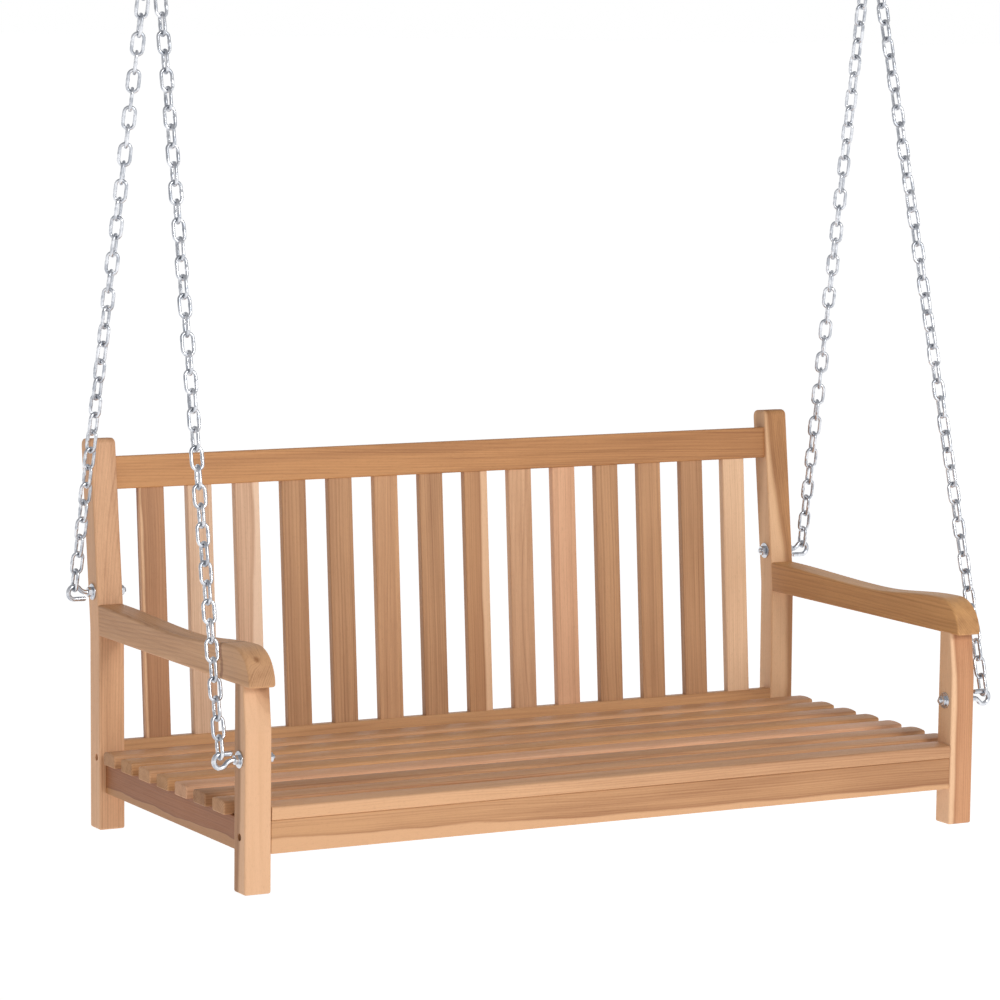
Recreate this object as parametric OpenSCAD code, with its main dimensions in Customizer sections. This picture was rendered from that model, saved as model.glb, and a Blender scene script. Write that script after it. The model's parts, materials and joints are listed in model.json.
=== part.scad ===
// Porch swing: a teak bench on four chains, two rings and two ceiling hooks.
// Millimetres. +Z is up, +X runs along the bench, and the bench faces -Y.
// The origin lies midway between the two hook shanks, on the ceiling surface.

/* [Hanging] */
// Drop from the ceiling surface to the feet of the bench
hang_h = 1404; // [1404:1:1408]
// Distance between the two ceiling hooks
hook_span = 1194; // [1190:1:1198]
// How far the hooks stand behind the front face of the front legs
hook_back = 320; // [314:1:326]

/* [Bench frame] */
// Width over the outer faces of the legs
bench_w = 1200; // [1200:1:1204]
// Width of the legs, posts and arms along X
leg_w = 40; // [40:1:41]
// Depth of the front legs along Y
leg_d = 36; // [36:1:38]
// Depth of the back posts, across their length
post_d = 36; // [36:1:38]
// Height of the back posts
post_h = 575; // [570:1:580]
// Height of the flat underside of the arms
arm_z = 287; // [285:1:289]
// Height of the kink in the front face of the front legs
kink_z = 224; // [220:1:230]
// How far the front face slopes back between the kink and the arm
kink_set = 8; // [6:1:9]

/* [Back] */
// Number of upright back slats
back_slats = 14; // [14:1:14]
// Width of a back slat
back_slat_w = 40; // [38:1:42]
// Thickness of a back slat
back_slat_t = 13; // [12:1:14]
// Height of the top rail and of the lower rail
rail_h = 48; // [46:1:49]
// Thickness of both back rails
rail_t = 22; // [22:1:24]

/* [Seat] */
// Number of seat slats, the front one included
seat_slats = 8; // [8:1:8]
// Width of a seat slat
slat_w = 40; // [38:1:42]
// Width of the front slat, which stands between the front legs
front_slat_w = 45; // [43:1:47]
// Distance from one seat slat to the next
slat_pitch = 63; // [62.5:0.5:63.5]
// Thickness of a seat slat at its edges
slat_edge_t = 18.5; // [18:0.5:19]
// Rise of its rounded top above the edges
slat_crown = 2; // [1.5:0.5:3]
// Height of the apron and the side rails
apron_h = 46.5; // [45:0.5:47]
// Underside of the apron and the side rails, above the feet
apron_z = 54.5; // [54:0.5:55]
// Thickness of the front apron
apron_t = 26; // [25:1:26]

/* [Chain] */
// Wire of a chain link
link_wire = 5; // [4.9:0.1:5.1]
// Inside length of a link
link_in_l = 26.7; // [26.7:0.1:26.8]
// Inside width of a link
link_in_w = 11; // [11:0.5:12]
// Links in a front chain
front_links = 44; // [44:1:44]
// Links in a back chain
back_links = 37; // [37:1:37]

/* [Hardware] */
// Wire of the eyebolts
eye_wire = 7.2; // [7:0.1:7.4]
// Thread of the eyebolts, over its crests
bolt_d = 7.9; // [7.8:0.1:8]
// Mean radius of an eye
eye_r = 9.5; // [9.5:0.1:9.8]
// Reach of the eye's centre beyond the leg
eye_reach = 29; // [29:0.5:30]
// Height of the front eyebolts
front_eye_z = 186; // [184:1:188]
// Height of the back eyebolts
back_eye_z = 350; // [348:1:352]
// Mean radius of a hanging ring
ring_r = 21; // [21:0.5:22]
// Wire of a hanging ring
ring_wire = 7; // [7:0.1:7.2]
// Wire and thread of a ceiling hook
hook_wire = 8; // [8:0.1:8]
// Mean radius of a ceiling hook's bowl
hook_r = 16; // [16:0.5:17]

/* [Hidden] */

left = -1;
right = 1;
smooth = 48;
cut = 1;                                  // how far a cutter runs past a face

// Timber colours and metal colours
light_teak = [0.86, 0.66, 0.49];
mid_teak = [0.74, 0.54, 0.37];
deep_teak = [0.68, 0.47, 0.31];
zinc = [0.78, 0.79, 0.81];
steel = [0.70, 0.71, 0.73];

// Legs and posts
inner_x = bench_w / 2 - leg_w;            // inner face of the legs
leg_x = bench_w / 2 - leg_w / 2;          // middle of the legs
post_foot_y = 499;
post_bend_y = 502;
post_bend_z = 300;
post_rake = 7.05;                         // lean of the post above its bend
post_len = (post_h - post_bend_z) / cos(post_rake);
post_round = 10;
top_corner = 8;
tenon_t = 12;

function post_front(z) = z < post_bend_z
    ? post_foot_y + (post_bend_y - post_foot_y) * z / post_bend_z
    : post_bend_y + (z - post_bend_z) * tan(post_rake);
function raked(u, v) = [post_bend_y + u * sin(post_rake) + v * cos(post_rake),
                        post_bend_z + u * cos(post_rake) - v * sin(post_rake)];

// Arms: an S-curved top that ends in a round nose
nose_r = 52;
nose_y = 39;                              // centre of the nose's arc
arm_dip_y = 240;
arm_dip_z = 327;
arm_back_z = 333;
arm_steps = 10;

function ease(t) = (1 - cos(180 * t)) / 2;
function arm_top(y) = y < arm_dip_y
    ? arm_dip_z + (arm_z + nose_r - arm_dip_z) * ease((arm_dip_y - y) / (arm_dip_y - nose_y))
    : arm_dip_z + (arm_back_z - arm_dip_z)
      * ease((y - arm_dip_y) / (post_front(arm_back_z) - arm_dip_y));

// The back panel leans by panel_tilt about the front top edge of the lower rail
panel_tilt = 4.6;
panel_y = 503.5;
panel_z = 131;
slat_len = 368.7;
back_slat_in = 2.5;                       // slats stand this far behind the rail face
slat_tenon_w = 28;
slat_tenon_t = 7;
slat_tenon_l = 12;
rail_tenon_l = 22;
rail_tenon_h = 27;

// Seat
seat_z = apron_z + apron_h;               // top of the rails, underside of the slats
slat_reach = 2;                           // slat ends stand this far outside the outer faces
slat_set = 1;                             // front face of a slat row behind the bench's front
front_slat_gap = 0.5;
side_rail_t = 22;
side_rail_x = leg_x - 0.5;
apron_set = 1;
tenon_z0 = apron_z + 9.5;
tenon_z1 = apron_z + 37.5;
leg_tenon = [20, 20, 22];
bearer_w = 22;

function slat_y(k) = (k - 1) * slat_pitch + slat_set;
function crown_r(w) = (pow(w / 2, 2) + pow(slat_crown, 2)) / (2 * slat_crown);

// Hardware
bolt_gap = 0.3;
washer_r = 12;
washer_t = 2;
nut_h = 6.5;
nut_af = 13;
bolt_past_nut = 3.5;                      // bolt end beyond the inner nut
front_eye_y = leg_d / 2;
back_eye_y = post_front(back_eye_z) + post_d / 2;
bend_a = acos(0.6);                       // turn of the reverse bend before an eye or a bowl
bend_ratio = 1.5;                         // its radius over the bowl's, so that the shank is central
eye_end_a = 0;
eye_tail = 17;                            // straight end of an eye's wire, which stops near the nut
hook_end_a = 15;
screw_r = 2.1;
screw_head_r = 4;
screw_gap = 0.05;
bore_r = 5;

// Chain: where each one leaves its eye and its ring
rest_gap = 0.25;                          // play where two rings of metal hang on each other
ring_drop = 70;                           // ring centre below the ceiling
ring_c = [-hook_span / 2, 0, -ring_drop];
eye_x = -(bench_w / 2 + eye_reach);
front_eye = [eye_x, front_eye_y - hook_back, front_eye_z + eye_r - hang_h];
back_eye = [eye_x, back_eye_y - hook_back, back_eye_z + eye_r - hang_h];
link_r = (link_in_w + link_wire) / 2;
sway_wobble = 9;
back_twist = 90;

function unit(v) = v / norm(v);

// Hook: the wire's centre at the bottom of its bowl carries the ring
hook_bowl_z = -ring_drop + ring_r - ring_wire / 2 - hook_wire / 2 - rest_gap + hook_r;
hook_collar = 4;
hook_collar_r = 8;
hook_thread_l = 50;
hook_tip_l = 12;

// ---------------------------------------------------------------- helpers

// Moves the bench's own frame (front face at y = 0, feet at z = 0) to its place
module at_bench() {
    translate([0, -hook_back, -hang_h]) children();
}

// Extrudes a side view (first number along Y, second along Z) across X
module across(w) {
    rotate([90, 0, 90]) linear_extrude(w, center = true) children();
}

// A box given by its two corners
module box(low, high) {
    translate(low) cube(high - low);
}

// The leaning frame of the back panel: x along the rail, y into it, z up it
module in_panel() {
    translate([0, panel_y, panel_z]) rotate([-panel_tilt, 0, 0]) children();
}

// A round bar or bore along X
module x_rod(x0, x1, r, y, z) {
    translate([min(x0, x1), y, z]) rotate([0, 90, 0])
        cylinder(h = abs(x1 - x0), r = r, $fn = smooth);
}

// A closed ring of wire round the Z axis
module wire_ring(r, wire) {
    rotate_extrude($fn = smooth) translate([r, 0]) circle(d = wire, $fn = smooth);
}

// A wedge that holds every part of a ring of radius r between two angles
module sector(r, from, to) {
    linear_extrude(r, center = true)
        polygon([[0, 0], for (a = [from, (from + to) / 2, to]) 4 * r * [cos(a), sin(a)]]);
}

// Height at which the shank of a bent hook becomes straight
function bend_top(r) = (r + r * bend_ratio) * sin(bend_a);

// A bent wire: a bowl round the origin, a reverse bend, then a straight shank along +Z. A tail
// runs straight on from the bowl's open end, which must then be at 0 degrees.
module bent_hook(r, wire, end_a, shank_top, shank_d, tail = 0) {
    rotate([90, 0, 0]) {
        difference() {
            wire_ring(r, wire);
            sector(r, end_a, 180 - bend_a);
        }
        translate([-r * bend_ratio, bend_top(r)]) intersection() {
            wire_ring(r * bend_ratio, wire);
            sector(r * bend_ratio, -bend_a, 0);
        }
    }
    translate([0, 0, bend_top(r)])
        cylinder(h = shank_top - bend_top(r), d = shank_d, $fn = smooth);
    if (tail > 0) translate([r, 0, 0]) cylinder(h = tail, d = wire, $fn = smooth);
}

// A countersunk wood screw pointing along +Z, with the top of its head at z = 0
module wood_screw(l) {
    head_l = screw_head_r - screw_r;
    cylinder(h = head_l, r1 = screw_head_r, r2 = screw_r, $fn = smooth);
    translate([0, 0, head_l]) cylinder(h = l - 2 * head_l, r = screw_r, $fn = smooth);
    translate([0, 0, l - head_l]) cylinder(h = head_l, r1 = screw_r, r2 = 0.4, $fn = smooth);
}

// The room that a wood screw needs: its own shape with a little play, and a bore behind
module screw_room(l, behind) {
    head_l = screw_head_r - screw_r;
    cylinder(h = head_l, r1 = screw_head_r + screw_gap, r2 = screw_r + screw_gap, $fn = smooth);
    cylinder(h = l + screw_gap, r = screw_r + screw_gap, $fn = smooth);
    translate([0, 0, -behind]) cylinder(h = behind, r = bore_r, $fn = smooth);
}

// ---------------------------------------------------------------- fastener places

leg_screw_l = 46;
leg_screw_bore = 9;
leg_screw_z = 78.5;
post_screw_z = 107;
post_screw_y = panel_y - 2 + rail_t / 2;
arm_screw_l = 62;
arm_screw_bore = 11;
arm_screw_z = 311;
arm_screw_y = post_front(arm_screw_z) + post_d - arm_screw_bore;
seat_screw_l = 44;
seat_screw_bore = 11;
apron_screw_x = 500;

// Screws through the outer face of a leg or post, pointing inwards
module side_screws_at(side) {
    for (p = [[leg_d / 2, leg_screw_z], [post_screw_y, post_screw_z]])
        translate([side * (bench_w / 2 - leg_screw_bore), p[0], p[1]])
            rotate([0, -side * 90, 0]) children();
}

// The screw through the back of a post, pointing forwards into the arm
module arm_screw_at(side) {
    translate([side * leg_x, arm_screw_y, arm_screw_z]) rotate([90, 0, 0]) children();
}

// Screws up through a rail under every slat behind the front one, at one x
module slat_screws_at(x) {
    for (k = [2:seat_slats])
        translate([x, slat_y(k) + slat_w / 2, apron_z + seat_screw_bore]) children();
}

// Screws up through the apron into the front slat
module apron_screws_at() {
    for (x = [-apron_screw_x, 0, apron_screw_x])
        translate([x, apron_set + apron_t / 2, apron_z + seat_screw_bore]) children();
}

// ---------------------------------------------------------------- frame

module side_rail_tenons(side, play = 0) {
    x0 = side_rail_x - tenon_t / 2;
    x1 = side_rail_x + tenon_t / 2;
    xs = side > 0 ? [x0, x1] : [-x1, -x0];
    box([xs[0], leg_d - 10, tenon_z0], [xs[1], leg_d + cut, tenon_z1]);
    box([xs[0], post_foot_y - cut, tenon_z0], [xs[1], post_foot_y + 12, tenon_z1]);
}

module apron_tenons() {
    y0 = leg_d / 2 - tenon_t / 2;
    box([-inner_x - 18, y0, tenon_z0], [inner_x + 18, y0 + tenon_t, tenon_z1]);
}

module rail_tenons(z0) {
    y0 = rail_t / 2 - tenon_t / 2;
    in_panel()
        box([-inner_x - rail_tenon_l, y0, z0],
            [inner_x + rail_tenon_l, y0 + tenon_t, z0 + rail_tenon_h]);
}

lower_tenon_z = -36;
top_tenon_z = slat_len + 11;

module back_post(side) {
    top_arc = [for (a = [180:-15:90]) raked(post_len - post_round + post_round * sin(a),
                                            post_round + post_round * cos(a))];
    rear_arc = [for (a = [90:-15:0]) raked(post_len - post_round + post_round * sin(a),
                                           post_d - post_round + post_round * cos(a))];
    corner = [for (a = [0:15:90]) [leg_w / 2 - top_corner + top_corner * cos(a),
                                   post_h - top_corner + top_corner * sin(a)]];
    color(light_teak) at_bench() difference() {
        intersection() {
            translate([side * leg_x, 0, 0]) across(leg_w)
                polygon(concat([[post_foot_y, 0], raked(0, 0)], top_arc, rear_arc,
                               [raked(0, post_d), [post_foot_y + post_d, 0]]));
            translate([side * leg_x, post_h + post_d, 0]) rotate([90, 0, 0])
                linear_extrude(post_h)
                    polygon(concat([[leg_w / 2, -cut]], corner,
                                   [for (i = [len(corner) - 1:-1:0]) [-corner[i][0], corner[i][1]]],
                                   [[-leg_w / 2, -cut]]));
        }
        x_rod(side * (inner_x - cut), side * (bench_w / 2 + cut), bolt_d / 2 + bolt_gap,
              back_eye_y, back_eye_z);
        side_rail_tenons(side);
        rail_tenons(lower_tenon_z);
        rail_tenons(top_tenon_z);
        side_screws_at(side) screw_room(leg_screw_l, leg_screw_bore + cut);
        arm_screw_at(side) screw_room(arm_screw_l, arm_screw_bore + cut);
    }
}

module front_leg(side) {
    color(light_teak) at_bench() difference() {
        union() {
            translate([side * leg_x, 0, 0]) across(leg_w)
                polygon([[0, 0], [0, kink_z], [kink_set, arm_z], [leg_d, arm_z], [leg_d, 0]]);
            translate([side * leg_x, leg_d / 2 + 2, arm_z + leg_tenon[2] / 2 - cut / 2])
                cube(leg_tenon + [0, 0, cut], center = true);
        }
        x_rod(side * (inner_x - cut), side * (bench_w / 2 + cut), bolt_d / 2 + bolt_gap,
              front_eye_y, front_eye_z);
        side_rail_tenons(side);
        apron_tenons();
        side_screws_at(side) screw_room(leg_screw_l, leg_screw_bore + cut);
    }
}

module armrest(side) {
    back_y = post_front(arm_back_z);
    nose = [for (a = [180:-9:90]) [nose_y + nose_r * cos(a), arm_z + nose_r * sin(a)]];
    top = [for (i = [1:2 * arm_steps]) let (y = nose_y + (back_y - nose_y) * i / (2 * arm_steps))
           [y, arm_top(y)]];
    color(mid_teak) at_bench() difference() {
        translate([side * leg_x, 0, 0]) across(leg_w)
            polygon(concat(nose, top, [raked(0, 0), [post_front(arm_z), arm_z]]));
        translate([side * leg_x, leg_d / 2 + 2, arm_z + leg_tenon[2] / 2 - cut / 2])
            cube(leg_tenon + [0, 0, cut], center = true);
        arm_screw_at(side) screw_room(arm_screw_l, arm_screw_bore);
    }
}

// ---------------------------------------------------------------- back

module back_slat_tenons(z0, l) {
    for (i = [1:back_slats])
        translate([slat_x(i), 0, 0])
            box([-slat_tenon_w / 2, back_slat_in + (back_slat_t - slat_tenon_t) / 2, z0],
                [slat_tenon_w / 2, back_slat_in + (back_slat_t + slat_tenon_t) / 2, z0 + l]);
}

function slat_x(i) = (i - (back_slats + 1) / 2) * (2 * inner_x + back_slat_w) / (back_slats + 1);

module top_rail() {
    color(mid_teak) at_bench() {
        difference() {
            union() {
                in_panel() box([-inner_x, 0, slat_len], [inner_x, rail_t, slat_len + rail_h]);
                rail_tenons(top_tenon_z);
            }
            in_panel() back_slat_tenons(slat_len - cut, slat_tenon_l + cut);
        }
    }
}

module lower_back_rail() {
    color(deep_teak) at_bench() difference() {
        union() {
            in_panel() box([-inner_x, 0, -rail_h], [inner_x, rail_t, 0]);
            rail_tenons(lower_tenon_z);
        }
        in_panel() back_slat_tenons(-slat_tenon_l, slat_tenon_l + cut);
        bearer_rear_tenon();
        for (side = [left, right]) side_screws_at(side) screw_room(leg_screw_l, 0);
    }
}

module back_slat(i) {
    tenon_y = back_slat_in + (back_slat_t - slat_tenon_t) / 2;
    color(i % 3 == 1 ? deep_teak : mid_teak) at_bench() in_panel()
        translate([slat_x(i), 0, 0]) {
            box([-back_slat_w / 2, back_slat_in, 0],
                [back_slat_w / 2, back_slat_in + back_slat_t, slat_len]);
            box([-slat_tenon_w / 2, tenon_y, -slat_tenon_l],
                [slat_tenon_w / 2, tenon_y + slat_tenon_t, slat_len + slat_tenon_l]);
        }
}

// ---------------------------------------------------------------- seat

module seat_slat(i) {
    half = i == 1 ? inner_x - front_slat_gap : bench_w / 2 + slat_reach;
    w = i == 1 ? front_slat_w : slat_w;
    top = slat_edge_t + slat_crown;
    color(i % 2 == 0 ? mid_teak : deep_teak) at_bench() difference() {
        translate([0, i == 1 ? 0 : slat_y(i), seat_z]) intersection() {
            box([-half, 0, 0], [half, w, top]);
            x_rod(-half - cut, half + cut, crown_r(w), w / 2, top - crown_r(w));
        }
        if (i == 1) apron_screws_at() screw_room(seat_screw_l, 0);
        else for (x = [-side_rail_x, 0, side_rail_x])
            slat_screws_at(x) screw_room(seat_screw_l, 0);
    }
}

module side_rail(side) {
    color(deep_teak) at_bench() difference() {
        union() {
            translate([side * side_rail_x, 0, 0]) across(side_rail_t)
                polygon([[leg_d, apron_z], [leg_d, seat_z],
                         [post_front(seat_z), seat_z], [post_front(apron_z), apron_z]]);
            side_rail_tenons(side);
        }
        slat_screws_at(side * side_rail_x) screw_room(seat_screw_l, seat_screw_bore + cut);
    }
}

module front_apron() {
    color(mid_teak) at_bench() difference() {
        union() {
            box([-inner_x, apron_set, apron_z], [inner_x, apron_set + apron_t, seat_z]);
            apron_tenons();
        }
        bearer_front_tenon();
        apron_screws_at() screw_room(seat_screw_l, seat_screw_bore + cut);
        for (side = [left, right]) side_screws_at(side) screw_room(leg_screw_l, 0);
    }
}

module bearer_front_tenon() {
    y1 = apron_set + apron_t;
    box([-5, y1 - 8, apron_z + 26], [5, y1 + cut, apron_z + 40]);
}

module bearer_rear_tenon() {
    box([-5, panel_y - 8, seat_z - 14], [5, panel_y + 8, seat_z - 4]);
}

module centre_bearer() {
    rear_y = [for (z = [apron_z, seat_z]) panel_y + (z - panel_z) * tan(panel_tilt)];
    color(deep_teak) at_bench() difference() {
        union() {
            across(bearer_w)
                polygon([[apron_set + apron_t, apron_z], [apron_set + apron_t, seat_z],
                         [rear_y[1], seat_z], [rear_y[0], apron_z]]);
            bearer_front_tenon();
            bearer_rear_tenon();
        }
        slat_screws_at(0) screw_room(seat_screw_l, seat_screw_bore + cut);
    }
}

// ---------------------------------------------------------------- fasteners

module seat_screws() {
    color(steel) at_bench() {
        for (x = [-side_rail_x, 0, side_rail_x]) slat_screws_at(x) wood_screw(seat_screw_l);
        apron_screws_at() wood_screw(seat_screw_l);
    }
}

module frame_screws() {
    color(steel) at_bench() for (side = [left, right]) {
        side_screws_at(side) wood_screw(leg_screw_l);
        arm_screw_at(side) wood_screw(arm_screw_l);
    }
}

// Calls its child at each of the four bolts, with +Z pointing out of the bench
module at_bolts() {
    for (side = [left, right])
        for (p = [[front_eye_y, front_eye_z], [back_eye_y, back_eye_z]])
            translate([0, p[0], p[1]]) rotate([0, side * 90, 0]) children();
}

module bolt_washer() {
    difference() {
        cylinder(h = washer_t, r = washer_r, $fn = smooth);
        translate([0, 0, -cut])
            cylinder(h = washer_t + 2 * cut, r = bolt_d / 2 + bolt_gap, $fn = smooth);
    }
}

module bolt_nut() {
    difference() {
        cylinder(h = nut_h, d = nut_af / cos(30), $fn = 6);
        translate([0, 0, -cut])
            cylinder(h = nut_h + 2 * cut, r = bolt_d / 2 + screw_gap, $fn = smooth);
    }
}

module outer_washers() {
    color(zinc) at_bench() at_bolts() translate([0, 0, bench_w / 2]) bolt_washer();
}

module inner_washers() {
    color(zinc) at_bench() at_bolts() translate([0, 0, inner_x - washer_t]) bolt_washer();
}

module outer_nuts() {
    color(zinc) at_bench() at_bolts() translate([0, 0, bench_w / 2 + washer_t]) bolt_nut();
}

module inner_nuts() {
    color(zinc) at_bench() at_bolts() translate([0, 0, inner_x - washer_t - nut_h]) bolt_nut();
}

// An eyebolt bent from wire: the eye bends down at the front legs and up at the back posts
module eyebolt(side, y, z, up) {
    bolt_end = eye_reach + leg_w + washer_t + nut_h + bolt_past_nut;
    color(zinc) at_bench() mirror([side > 0 ? 1 : 0, 0, 0])
        translate([-bench_w / 2 - eye_reach, y, z]) rotate([0, 90, 0])
            rotate([0, 0, up ? 0 : 180])
                bent_hook(eye_r, eye_wire, eye_end_a, bolt_end, bolt_d, eye_tail);
}

// ---------------------------------------------------------------- chains

// One welded link, long axis along Z and width along X, centred on the origin
module link() {
    straight = link_in_l - link_in_w;
    for (end = [0, 180])
        rotate([0, end, 0]) {
            translate([0, 0, straight / 2]) rotate([90, 0, 0])
                rotate_extrude(angle = 180, $fn = smooth)
                    translate([link_r, 0]) circle(d = link_wire, $fn = smooth);
            translate([link_r, 0, -straight / 2])
                cylinder(h = straight, d = link_wire, $fn = smooth);
        }
}

// A taut chain from an eye's top wire to the ring, with a slow natural twist
module chain(eye, count, twist) {
    d = unit(ring_c - eye);
    low = eye + (eye_wire / 2 + rest_gap) * -d;
    high = ring_c - (ring_r - ring_wire / 2 - rest_gap) * d;
    pitch = (norm(high - low) - link_in_l) / (count - 1);
    azimuth = atan2(d[1], d[0]);
    for (k = [0:count - 1])
        translate(low + (link_in_l / 2 + k * pitch) * d)
            rotate([0, acos(d[2]), azimuth])
                rotate([0, 0, 90 - azimuth + 90 * k + twist * k / (count - 1)
                              + sway_wobble * sin(47 * k) * sin(180 * k / (count - 1))])
                    link();
}

module hanging_chain(side, eye, count, twist) {
    color(zinc) mirror([side > 0 ? 1 : 0, 0, 0]) chain(eye, count, twist);
}

module ring(side) {
    color(zinc) mirror([side > 0 ? 1 : 0, 0, 0]) translate(ring_c) rotate([0, 90, 0])
        wire_ring(ring_r, ring_wire);
}

module ceiling_hook(side) {
    color(steel) mirror([side > 0 ? 1 : 0, 0, 0]) translate([ring_c[0], 0, 0]) {
        translate([0, 0, hook_bowl_z])
            bent_hook(hook_r, hook_wire, hook_end_a, -hook_bowl_z - hook_collar / 2, hook_wire);
        translate([0, 0, -hook_collar])
            cylinder(h = hook_collar, r = hook_collar_r, $fn = smooth);
        cylinder(h = hook_thread_l, d = hook_wire, $fn = smooth);
        translate([0, 0, hook_thread_l])
            cylinder(h = hook_tip_l, d1 = hook_wire, d2 = 0.6, $fn = smooth);
    }
}

// ---------------------------------------------------------------- nodes

back_post(left);  // left_back_post
back_post(right);  // right_back_post
front_leg(left);  // left_front_leg
front_leg(right);  // right_front_leg
armrest(left);  // left_armrest
armrest(right);  // right_armrest
top_rail();
lower_back_rail();
for (i = [1:back_slats])
    back_slat(i);
for (i = [1:seat_slats])
    seat_slat(i);
side_rail(left);  // left_side_rail
side_rail(right);  // right_side_rail
centre_bearer();
front_apron();
eyebolt(left, front_eye_y, front_eye_z, false);  // left_front_eyebolt
eyebolt(right, front_eye_y, front_eye_z, false);  // right_front_eyebolt
eyebolt(left, back_eye_y, back_eye_z, true);  // left_back_eyebolt
eyebolt(right, back_eye_y, back_eye_z, true);  // right_back_eyebolt
outer_nuts();
inner_nuts();
outer_washers();
inner_washers();
seat_screws();
frame_screws();
hanging_chain(left, front_eye, front_links, 0);  // left_front_chain
hanging_chain(left, back_eye, back_links, back_twist);  // left_back_chain
hanging_chain(right, front_eye, front_links, 0);  // right_front_chain
hanging_chain(right, back_eye, back_links, back_twist);  // right_back_chain
ring(left);  // left_ring
ring(right);  // right_ring
ceiling_hook(left);  // left_hook
ceiling_hook(right);  // right_hook
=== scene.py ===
"""The looks of the porch swing: a teak bench on zinc-plated chains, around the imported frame."""
import json
import math

import bmesh
import bpy
import numpy as np
from mathutils import Matrix, Vector


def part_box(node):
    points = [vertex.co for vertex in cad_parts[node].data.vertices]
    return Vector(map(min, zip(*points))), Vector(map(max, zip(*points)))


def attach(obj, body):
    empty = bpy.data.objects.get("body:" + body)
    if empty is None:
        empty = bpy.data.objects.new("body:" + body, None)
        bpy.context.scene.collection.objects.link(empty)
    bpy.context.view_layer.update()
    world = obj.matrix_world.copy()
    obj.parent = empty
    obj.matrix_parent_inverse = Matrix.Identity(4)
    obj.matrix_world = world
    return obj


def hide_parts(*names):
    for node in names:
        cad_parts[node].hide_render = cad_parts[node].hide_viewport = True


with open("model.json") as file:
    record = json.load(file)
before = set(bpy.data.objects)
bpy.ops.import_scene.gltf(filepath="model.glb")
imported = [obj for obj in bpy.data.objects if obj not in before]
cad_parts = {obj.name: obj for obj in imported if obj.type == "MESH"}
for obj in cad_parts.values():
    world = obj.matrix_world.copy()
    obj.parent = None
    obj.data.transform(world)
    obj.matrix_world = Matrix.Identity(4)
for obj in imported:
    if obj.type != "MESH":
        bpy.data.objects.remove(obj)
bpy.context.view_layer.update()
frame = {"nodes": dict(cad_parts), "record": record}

MM = 0.001
LEFT, RIGHT = -1, 1
RECORD = frame["record"]
BODY = {n: b for b, names in RECORD["behaviour"]["bodies"].items() for n in names}

# The bench's own frame, in millimetres: its front face is at y = 0 and its feet at z = 0
LEG_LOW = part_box("left_front_leg")[0]
BENCH = Matrix.Translation((0, LEG_LOW.y, LEG_LOW.z)) @ Matrix.Scale(MM, 4)
HALF_W = -LEG_LOW.x / MM                     # outer face of the legs
LEG_W, LEG_D = 40, 36
INNER_X, LEG_X = HALF_W - LEG_W, HALF_W - LEG_W / 2

# Legs, posts and arms
KINK_Z, KINK_SET = 224, 8
POST_FOOT_Y, POST_BEND_Y, POST_BEND_Z = 499, 502, 300
POST_RAKE = math.radians(7.05)
POST_D, POST_H, POST_ROUND, TOP_CORNER = 36, 575, 10, 8
ARM_Z, NOSE_R, NOSE_Y = 287, 52, 39
ARM_DIP_Y, ARM_DIP_Z, ARM_BACK_Z = 240, 327, 333

# Back panel, which leans about the front top edge of the lower rail
PANEL_TILT, PANEL_Y, PANEL_Z = math.radians(4.6), 503.5, 131
SLAT_LEN, RAIL_H, RAIL_T = 368.7, 48, 22
BACK_SLATS, BACK_SLAT_W, BACK_SLAT_T, BACK_SLAT_IN = 14, 40, 13, 2.5

# Seat
SEAT_SLATS, SLAT_W, FRONT_SLAT_W, SLAT_PITCH, SLAT_SET = 8, 40, 45, 63, 1
SLAT_EDGE, SLAT_CROWN, SLAT_REACH = 18.5, 2, 2
APRON_Z, APRON_H, APRON_Y, APRON_T = 54.5, 46.5, 1, 26
SEAT_Z = APRON_Z + APRON_H
SIDE_RAIL_T, SIDE_RAIL_X, BEARER_W = 22, LEG_X - 0.5, 22
MIDDLE_Y = 268                               # middle of the side rails and the bearer

# Metalwork
EYE_WIRE, EYE_R, EYE_REACH, EYE_TAIL = 7.2, 9.5, 29, 17
BOLT_D, BOLT_PITCH, BOLT_PAST_NUT = 7.9, 1.25, 3.5
FRONT_EYE = (LEG_D / 2, 186)
NUT_AF, NUT_H, WASHER_R, WASHER_T = 13, 6.5, 12, 2
HOOK_WIRE, HOOK_R, HOOK_END, HOOK_COLLAR_R, HOOK_COLLAR = 8, 16, 15, 8, 4
HOOK_THREAD, HOOK_TIP, HOOK_PITCH = 50, 12, 3.4
LINK_WIRE, LINK_IN_L, LINK_IN_W = 5, 26.7, 11
BORE_R, SCREW_R, SCREW_HEAD_R = 5, 2.1, 4
LEG_SCREW_BORE, LEG_SCREW_L, LEG_SCREW_Z, POST_SCREW_Z = 9, 46, 78.5, 107
ARM_SCREW_BORE, ARM_SCREW_L, ARM_SCREW_Z = 11, 62, 311
SEAT_SCREW_BORE, SEAT_SCREW_L, APRON_SCREW_X = 11, 44, 500
POST_SCREW_Y = PANEL_Y - 2 + RAIL_T / 2
BORE_CHAMFER, CUTTER_PAST = 0.6, 4           # the cutter of a bore starts in front of the face
TIP_ROUND, NUT_CHAMFER = 0.8, 0.5
LINK_WELD, RING_WELD = 0.35, 0.0004          # how far a weld swells a wire, in mm and in m


def post_front(z):
    """Front face of a back post at a height."""
    if z < POST_BEND_Z:
        return POST_FOOT_Y + (POST_BEND_Y - POST_FOOT_Y) * z / POST_BEND_Z
    return POST_BEND_Y + (z - POST_BEND_Z) * math.tan(POST_RAKE)


def raked(up, back):
    """A point of a post's leaning part, by how far it is up it and behind its front face."""
    return (POST_BEND_Y + up * math.sin(POST_RAKE) + back * math.cos(POST_RAKE),
            POST_BEND_Z + up * math.cos(POST_RAKE) - back * math.sin(POST_RAKE))


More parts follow.
